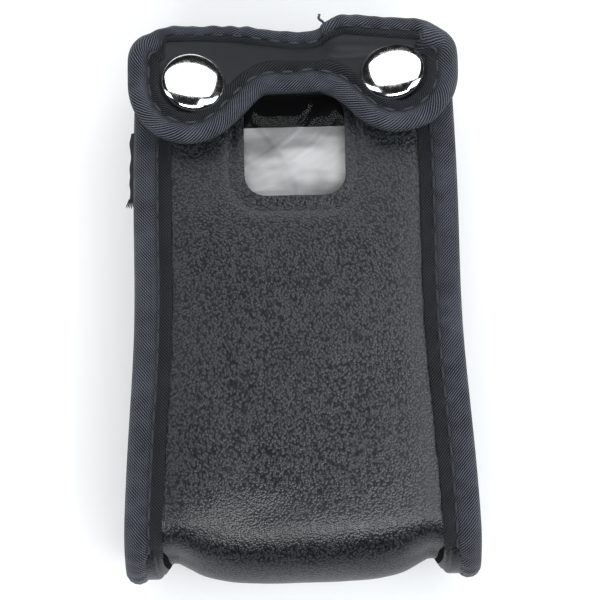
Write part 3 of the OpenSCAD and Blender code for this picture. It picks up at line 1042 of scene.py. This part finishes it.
def closure_height(x, y):
    """Height of the middle of the closure's leather: up off the fold, with a valley between the snaps."""
    away = FOLD_Y - y
    lift = curve_through(away, LENGTHWAYS)
    valley = curve_through(np.abs(x), CROSSWAYS) * smooth_step(away, -1, 6)
    off_pleat = 0.79 * (x - 4.6) - 0.61 * (away - 10.4)
    pleat = 0.9 * bell(off_pleat, 0, 1.5) * smooth_step(away, 6, 10) * smooth_step(12 - x, 0, 3)
    proud = 1.3 * smooth_step(x, 6.5, 10) * smooth_step(36 - x, 0, 6) * smooth_step(5.5 - away, 0, 3)
    return CAP_MID_Z + lift + valley + pleat + proud


def closure_spot(x, y, height):
    """A point at a height above the middle of the closure's leather, along its normal."""
    step = 0.2
    z = closure_height(x, y)
    slope_x = (closure_height(x + step, y) - closure_height(x - step, y)) / (2 * step)
    slope_y = (closure_height(x, y + step) - closure_height(x, y - step)) / (2 * step)
    size = np.sqrt(1 + slope_x ** 2 + slope_y ** 2)
    return np.stack([x - height * slope_x / size, y - height * slope_y / size, z + height / size], axis=-1)


def outline_inwards():
    """Unit directions into the closure, and how far in each can go before it meets the other side."""
    along = unit(np.roll(OUTLINE, -1, axis=0) - np.roll(OUTLINE, 1, axis=0))
    inwards = np.stack([-along[:, 1], along[:, 0]], axis=1)
    reach = np.full(len(OUTLINE), 20.0)
    for distance in np.arange(12, 0.4, -0.25):
        spots = OUTLINE + inwards * distance
        gaps = np.linalg.norm(spots[:, None] - OUTLINE[None], axis=2).min(axis=1)
        reach = np.where(gaps < distance - 0.12, distance, reach)
    for _ in range(3):
        reach = np.minimum(reach, 0.25 * (np.roll(reach, 1) + np.roll(reach, -1)) + 0.5 * reach)
    return inwards, reach


INWARDS, REACH = outline_inwards()


def closure_layer(name, inset, above, below, material):
    """A sheet of the closure's plan between two heights, triangulated over an even lattice."""
    rim = resample(OUTLINE + INWARDS * inset, 0.8, closed=True)
    low, high = rim.min(axis=0), rim.max(axis=0)
    lattice = []
    for row, y in enumerate(np.arange(low[1] + 0.6, high[1], 0.95)):
        for x in np.arange(low[0] + 0.55 * (row % 2), high[0], 1.1):
            gaps = np.linalg.norm(rim - [x, y], axis=1)
            if gaps.min() > 0.6:
                lattice.append((x, y))
    flat_points = [Vector(p) for p in np.vstack([rim, lattice])]
    loop = list(range(len(rim)))
    rim_edges = [(i, (i + 1) % len(rim)) for i in loop]
    flat, _, triangles, *_ = delaunay_2d_cdt(flat_points, rim_edges, [loop], 1, 1e-5)
    x, y = np.array([tuple(p) for p in flat]).T
    waves = 0.12 * flat_ripple(x, y, 11, 41)
    points = np.vstack([closure_spot(x, y, above + waves), closure_spot(x, y, below + waves)])
    return add_mesh(name, points, closed_faces([tuple(t) for t in triangles], len(x)), material)


def closure_hem(points):
    """Width of the closure's tape: full round the lobes and the hollow, and narrow along the fold."""
    x, y = points.T
    along_fold = smooth_step(y, TOP_Y - 4.5, TOP_Y - 1.5) * smooth_step(33 - np.abs(x), 0, 4)
    doubled = smooth_step(x, 6, 10)
    return CLOSURE_HEM - along_fold * (4.0 - 1.6 * doubled)


def make_closure_layers():
    """The closure's leather and the lining under it."""
    leather = closure_layer("flap_leather", 0.8, LEATHER_T / 2, -LEATHER_T / 2, FLAP_LEATHER)
    finish_piece(leather, "closure", "leather", "closure_leather")
    lining = closure_layer("flap_lining", 1.2, -LEATHER_T / 2 - 0.05, -LEATHER_T / 2 - LINING_T, LINING)
    finish_piece(lining, "closure", "lining", "closure_lining")


def make_closure_tape():
    """The tape folded over the closure's whole edge."""
    steps = np.linalg.norm(np.roll(OUTLINE, -1, axis=0) - OUTLINE, axis=1)
    lengths = np.r_[0, np.cumsum(steps)[:-1]]

    def place(distance, height):
        spot = OUTLINE + INWARDS * distance[:, None]
        return closure_spot(spot[:, 0], spot[:, 1], LEATHER_T / 2 + height)

    under = (LEATHER_T + LINING_T, CLOSURE_LEG)
    rings = tape_rings(place, lengths, closure_hem(OUTLINE), under, 51, puff=0.8, limit=REACH)
    tape = loft("flap_tape", rings, TAPE, TAPE_SHARP, closed=True)
    finish_piece(tape, "closure", "tape", "closure_binding")


def make_closure_stitches():
    """The stitches along the tape's groove, and the loose end of the thread at the fold."""
    stitch_in = np.minimum(GROOVE_AT * closure_hem(OUTLINE), 0.85 * REACH)
    line = resample(OUTLINE + INWARDS * stitch_in[:, None], LINE_STEP, closed=True)
    count = round(len(line) * LINE_STEP / STITCH_PITCH)
    stitch = np.arange(0, int(STITCH_LEN / LINE_STEP), 5)
    runs = []
    for k in range(count):
        x, y = line[(k * len(line) // count + stitch) % len(line)].T
        runs.append((closure_spot(x, y, LEATHER_T / 2 + 0.4), UP))
    t = np.linspace(0, 5.2, 9)
    runs.append((closure_spot(8.0 - 0.45 * t + 0.6 * np.sin(1.7 * t), TOP_Y - 0.5 + 0.62 * t, 2.2), UP))
    finish_piece(threads("flap_threads", runs, THREAD), "closure", "thread", "closure_stitches")


# ------------ snaps


# From the stud's middle to the middle of the closure's leather, along the snap
CAP_SEAT = 3.4

# Outlines of (radius, height). The dome is a quarter of an ellipse above the cap's rolled rim
DOME = [(7.45 * math.cos(a), 0.7 + 2.3 * math.sin(a)) for a in np.linspace(0.1, math.pi / 2 - 0.03, 20)]
CAP_PROFILE = [(0.4, -0.2), (6.9, -0.2), (7.35, 0.0), (7.5, 0.35), *DOME, (0.02, 3.0)]
SOCKET_PROFILE = [(2.3, 0), (4.3, 0), (4.45, -0.3), (4.3, -0.75), (3.5, -0.95), (3.3, -1.6), (2.9, -1.95),
                  (2.4, -1.9), (2.3, -1.2)]
STUD_PROFILE = [(0.02, -0.8), (4.1, -0.8), (4.3, -0.4), (3.9, 0.0), (2.1, 0.15), (1.7, 0.5), (2.0, 1.1),
                (2.0, 1.5), (1.5, 1.8), (0.02, 1.9)]


def rivet_profile(reach):
    """A flat head under the lining, and a shank that goes up to the stud."""
    top = reach + 0.8
    return [(0.02, -1.1), (2.7, -1.1), (3.1, -0.8), (3.1, -0.55), (1.3, -0.4), (1.25, top), (0.02, top)]


def make_snaps():
    """Domed caps and sockets on the closure, studs and rivets on the pouch."""
    caps, sockets, studs, rivets = [], [], [], []
    for side, label in SIDES:
        stud, axis = SNAPS[side]
        middle = stud + axis * CAP_SEAT
        middle[2] = closure_height(middle[0], middle[1])
        cap_foot = middle + axis * (LEATHER_T / 2)
        socket_foot = middle - axis * (LEATHER_T / 2 + LINING_T)
        reach = (stud[2] - FRONT_Z + LEATHER_T + LINING_T) / axis[2]
        caps.append(lathe(f"cap_{label}", CAP_PROFILE, cap_foot, axis, CHROME))
        sockets.append(lathe(f"socket_{label}", SOCKET_PROFILE, socket_foot, axis, NICKEL))
        studs.append(lathe(f"stud_{label}", STUD_PROFILE, stud, axis, NICKEL))
        rivets.append(lathe(f"rivet_{label}", rivet_profile(reach), stud - axis * reach, axis, NICKEL))
    finish_piece(join("bright_caps", caps), "closure", "cap_metal", "snap_caps")
    finish_piece(join("press_sockets", sockets), "closure", "snap_metal", "snap_sockets")
    finish_piece(join("press_studs", studs), "pouch", "snap_metal", "snap_studs")
    finish_piece(join("stud_rivets", rivets), "pouch", "snap_metal", "snap_rivets")


# ------------ neck


def world(y, z):
    """A point of the pouch's middle plane in metres."""
    return Vector((0, BOTTOM_Y + y * MM, z * MM))


def make_neck():
    """The strap that rises from the back to the fold, in two halves, each built with a curve at one joint's
    place.
    """
    low_bend = ("pouch", "neck", world(NECK_Y, NECK_Z + 1), world(NECK_Y, NECK_Z + 9))
    high_bend = ("neck", "closure", world(NECK_Y, FOLD_Z - 3.4), world(NECK_Y, FOLD_Z - 0.4))
    under = (LEATHER_T + LINING_T, CLOSURE_LEG)
    for part, wrap, bend in (("low", NECK_LOW, low_bend), ("high", NECK_HIGH, high_bend)):
        leather = panel(f"strap_leather_{part}", wrap, LEATHER, 0, -LEATHER_T)
        finish_piece(leather, bend, "leather", "neck_strip")
        lining = panel(f"strap_lining_{part}", wrap, LINING, -LEATHER_T - 0.05, -LEATHER_T - LINING_T,
                       inset=5.8)
        finish_piece(lining, bend, "lining", "neck_lining")
        for side, label in SIDES:
            tape = edge_tape(f"strap_tape_{part}_{label}", wrap, side, 0, under, 61 + side, 6.4, 0.55)
            finish_piece(tape, bend, "tape", f"neck_binding_{label}")


def make_frayed_strip():
    """A worn strip of cloth that shows behind the left tape near the mouth, with a loose tuft.

    No CAD node stands for it, so it replaces none.
    """
    y = np.linspace(MOUTH_Y - 17, MOUTH_Y - 33, 41)
    width = 0.9 + 0.4 * flat_ripple(y, 0, 3, 71)
    edge = pouch_half(y) + TAPE_T
    across = np.linspace(-0.8, 1, 7)[None, :]
    x = -(edge[:, None] + 0.2 + across * width[:, None])
    z = FRONT_Z - 2.4 - 0.8 * across ** 2
    top = np.stack(np.broadcast_arrays(x, y[:, None], z), axis=-1)
    finish_piece(slab("frayed_strip", top, top - [0, 0, 0.5], FRAYED), "pouch", "tape")
    runs = []
    t = np.linspace(0, 1, 7)[:, None]
    for k in range(13):
        lean = -0.5 + 0.16 * k
        root = np.array([-edge[-1] - 1.2 + 0.2 * k, y[-1] + 0.6, FRONT_Z - 2.2])
        hair = root + t * [0.3 * lean, -1.6 - 0.12 * (k % 4), 0] + t * t * [1.3 * lean, -0.5, 0.3 * (k % 3)]
        runs.append((hair, UP))
    finish_piece(threads("frayed_tuft", runs, FRAYED, 0.13), "pouch", "thread")


# ------------ floor, lights and camera


FLOOR_SIZE = 2.0
FLOOR_DROP = 0.3 * MM
LIGHT_DISTANCE = 0.9
SKY_LIGHT = (0.84, 0.92, 1)


def make_floor():
    """A plain pale floor just under the pouch, with a little light of its own."""
    bpy.ops.mesh.primitive_plane_add(size=FLOOR_SIZE, location=(0, 0, -FLOOR_DROP))
    floor = bpy.context.object
    floor.name = "floor"
    s = Surface("white_floor", (0.6, 0.6, 0.6), 0.9, emission_strength=0.3)
    s.set("Emission Color", (1, 1, 1, 1))
    floor.data.materials.append(s.material)
    floor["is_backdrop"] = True


def area_light(name, radiance, size, azimuth, elevation, colour=(1, 1, 1)):
    """A soft light aimed at the pouch, azimuth from +X, elevation above the floor."""
    data = bpy.data.lights.new(name, "AREA")
    data.shape = "RECTANGLE"
    data.size, data.size_y = size
    data.energy = radiance * math.pi * size[0] * size[1]
    data.color = colour
    lamp = bpy.data.objects.new(name, data)
    bpy.context.scene.collection.objects.link(lamp)
    a, e = math.radians(azimuth), math.radians(elevation)
    target = Vector((0, 0, DEPTH / 2)) * MM
    away = Vector((math.cos(e) * math.cos(a), math.cos(e) * math.sin(a), math.sin(e)))
    lamp.location = target + away * LIGHT_DISTANCE
    lamp.rotation_euler = away.to_track_quat("Z", "Y").to_euler()
    lamp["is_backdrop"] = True


def make_lights():
    """Soft studio lights on four sides, and a faint white world."""
    area_light("overhead_softbox", 2.4, (1.6, 0.8), 90, 50)
    area_light("front_softbox", 10.0, (0.9, 0.24), -84, 60)
    area_light("right_softbox", 5.0, (0.35, 0.8), -8, 44, SKY_LIGHT)
    area_light("left_softbox", 4.0, (0.25, 0.7), 182, 30, SKY_LIGHT)
    backdrop = bpy.data.worlds.new("studio")
    backdrop.use_nodes = True
    background = backdrop.node_tree.nodes["Background"]
    background.inputs["Color"].default_value = (1, 1, 1, 1)
    background.inputs["Strength"].default_value = 0.02
    bpy.context.scene.world = backdrop


# The camera looks down at (x, y) CAMERA_TARGET in millimetres of the shared frame
CAMERA_ELEVATION = 84.0
CAMERA_DISTANCE = 0.48
CAMERA_LENS = 121.3
CAMERA_ROLL = 1.25
CAMERA_TARGET = (0.5, 3.3)


def make_camera():
    """The camera at the photograph's viewing angle."""
    data = bpy.data.cameras.new("photo_camera")
    data.lens = CAMERA_LENS
    data.clip_start = 0.01
    camera = bpy.data.objects.new("photo_camera", data)
    bpy.context.scene.collection.objects.link(camera)
    elevation = math.radians(CAMERA_ELEVATION)
    away = Vector((0, -math.cos(elevation), math.sin(elevation)))
    target = Vector((*CAMERA_TARGET, DEPTH / 2)) * MM
    turn = away.to_track_quat("Z", "Y").to_matrix().to_4x4()
    roll = Matrix.Rotation(math.radians(-CAMERA_ROLL), 4, "Z")
    camera.matrix_world = Matrix.Translation(target + away * CAMERA_DISTANCE) @ turn @ roll
    bpy.context.scene.camera = camera


def save_size():
    """Works out the CAD's bounds and the finished model's, and keeps neither."""
    plain = [[list(corner) for corner in pair] for pair in (cad_bounds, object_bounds())]


make_shell()
for side, label in SIDES:
    make_gusset_wall(side, label)
    make_gusset_lining(side, label)
    make_gusset_rim(side, label)
    make_edge(side, label)
make_mouth()
make_film()
make_window_stitches()
make_insert()
make_closure_layers()
make_closure_tape()
make_closure_stitches()
make_snaps()
make_neck()
make_frayed_strip()
make_floor()
make_lights()
make_camera()
bpy.context.scene.view_settings.view_transform = "Standard"
bpy.context.scene.view_settings.gamma = 0.85
save_size()
